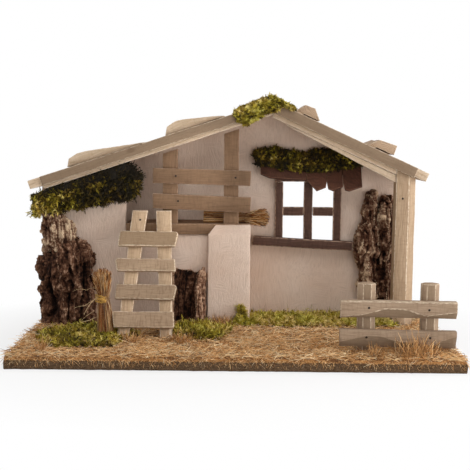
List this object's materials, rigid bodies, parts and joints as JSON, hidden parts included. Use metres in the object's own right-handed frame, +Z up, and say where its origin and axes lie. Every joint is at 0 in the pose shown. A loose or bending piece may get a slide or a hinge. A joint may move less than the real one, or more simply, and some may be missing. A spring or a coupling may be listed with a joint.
{
  "type": "nativity stable",
  "caption": "Open timber stable on a straw-covered board: plastered walls, gable roof, hay loft with ladder, barred window, cork bark, moss and a fence.",
  "frame": {"origin": "centre of the base board's underside", "axes": "+X to the right of someone facing the open front, +Y towards the back wall, +Z up"},
  "size_m": [0.5128, 0.25, 0.3024],
  "materials": {
    "fibre_board": "rough wood-fibre board with a torn brown edge",
    "loose_straw": "chopped straw, tangled and matt",
    "plaster": "hand-brushed lime plaster, warm white and matt",
    "raw_pine": "sawn unfinished pine with fine grain and small knots",
    "brown_pine": "sawn pine browned with age, fine grain and small knots",
    "pale_pine": "split pale pine, rough at the ends",
    "greyed_pine": "sawn pine greyed by a thin stain",
    "stained_wood": "dark walnut stain on softwood, worn at the edges",
    "stained_shingle": "red-brown stain on split shingles",
    "cork_bark": "furrowed cork oak bark, dark with tan ridges",
    "straw": "dry stalks with a soft sheen",
    "straw_tie": "twisted yellow straw",
    "moss": "dried moss, yellow-green at the tips"
  },
  "bodies": {
    "root": {"base_board": "fibre_board", "straw_ground_cover": "loose_straw", "back_wall": "plaster", "left_side_wall": "plaster", "front_wall_left": "plaster", "front_wall_under_loft": "plaster", "plaster_block": "plaster", "loft_floor": "brown_pine", "railing_post_left": "brown_pine", "railing_post_right": "brown_pine", "railing_rail_upper": "brown_pine", "railing_rail_lower": "brown_pine", "ladder_leg_left": "raw_pine", "ladder_leg_right": "raw_pine", "ladder_rung_1": "raw_pine", "ladder_rung_2": "raw_pine", "ladder_rung_3": "raw_pine", "ladder_rung_4": "raw_pine", "corner_post": "pale_pine", "roof_deck_left": "pale_pine", "roof_deck_right": "pale_pine", "rafter_left": "pale_pine", "rafter_right": "pale_pine", "rafter_batten_right": "pale_pine", "roof_slab_left_lower": "pale_pine", "roof_slab_left_upper": "pale_pine", "bargeboard_left": "greyed_pine", "bargeboard_right": "greyed_pine", "roof_slab_right_upper": "greyed_pine", "roof_slab_right_lower": "greyed_pine", "fence_post_left": "greyed_pine", "fence_post_right": "greyed_pine", "fence_rail_upper": "greyed_pine", "fence_rail_lower": "greyed_pine", "window_stile_left": "stained_wood", "window_stile_right": "stained_wood", "window_mullion": "stained_wood", "window_transom_left": "stained_wood", "window_transom_right": "stained_wood", "window_head": "stained_wood", "window_sill": "stained_wood", "canopy_batten": "stained_wood", "canopy_shingle_1": "stained_shingle", "canopy_shingle_2": "stained_shingle", "canopy_shingle_3": "stained_shingle", "canopy_shingle_4": "stained_shingle", "cork_bark_left": "cork_bark", "cork_bark_left_upper": "cork_bark", "cork_bark_right": "cork_bark", "cork_bark_hollow": "cork_bark", "straw_bundle_loft": "straw", "straw_sheaf": "straw", "straw_sheaf_tie": "straw_tie", "ground_moss_left": "moss", "ground_moss_centre": "moss", "ground_moss_back": "moss", "ridge_moss": "moss", "eave_moss": "moss", "window_moss": "moss"}
  },
  "joints": []
}
